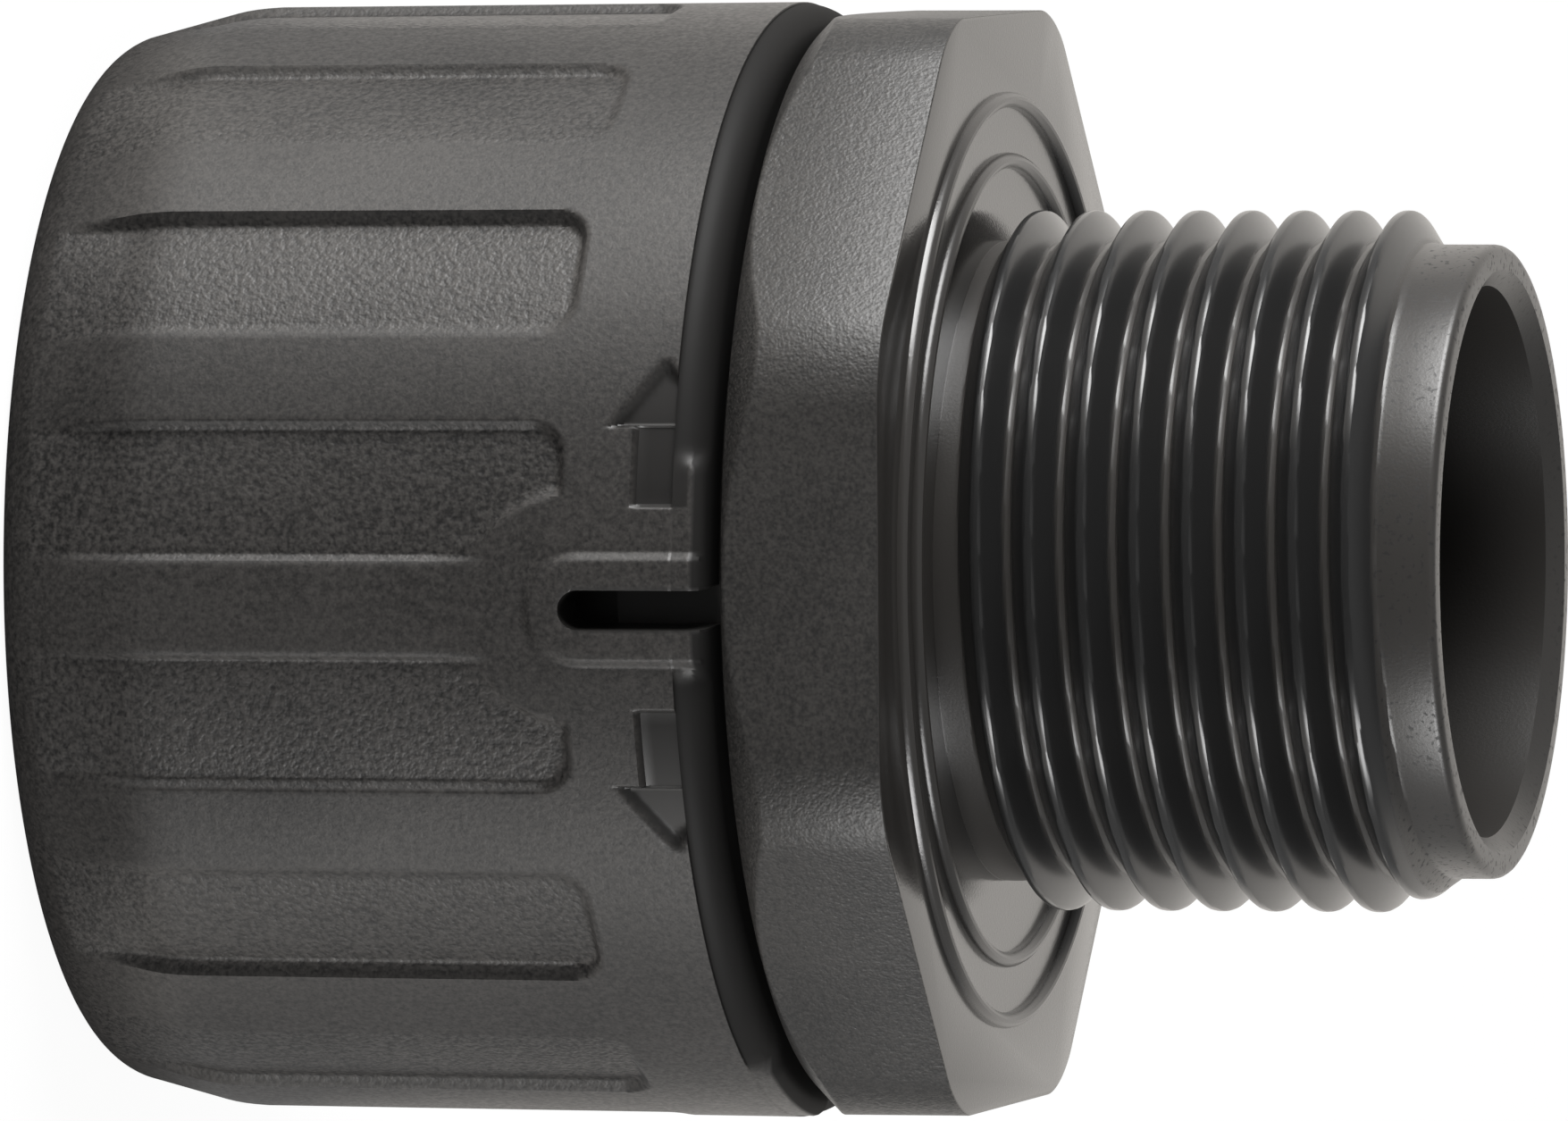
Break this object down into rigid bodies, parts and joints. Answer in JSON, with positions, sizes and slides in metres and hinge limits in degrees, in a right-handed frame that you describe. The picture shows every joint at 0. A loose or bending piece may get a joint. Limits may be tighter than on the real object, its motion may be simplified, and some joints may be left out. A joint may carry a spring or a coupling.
{
  "type": "liquidtight conduit connector",
  "caption": "Straight plastic conduit connector: domed push-in lock housing, octagonal wrench collar with sealing beads, and a male metric thread with a plain nose.",
  "frame": {"origin": "centre of the conduit entry's flat end face, on which the part stands", "axes": "+Z along the axis from the conduit entry to the threaded nose; -Y towards the side with the screwdriver slot; the collar's flats look along X and Y"},
  "size_m": [0.0312, 0.0314, 0.0396],
  "materials": {
    "body_nylon": "moulded black nylon, glossy on the thread, satin on the faces, fine spark texture on the collar's flats",
    "housing_nylon": "moulded black nylon with a fine spark texture",
    "claw_acetal": "smooth dark acetal",
    "seal_rubber": "matte black rubber"
  },
  "bodies": {
    "fitting_body": {"threaded_body": "body_nylon", "conduit_seal": "seal_rubber"},
    "lock_housing": {"housing": "housing_nylon", "claw_ring": "claw_acetal"}
  },
  "joints": [
    {"name": "housing_turn", "type": "hinge", "parent": "fitting_body", "child": "lock_housing", "pos_m": [0, 0, 0.0195], "axis": [0, 0, 1], "range_deg": [-24, 24]}
  ]
}
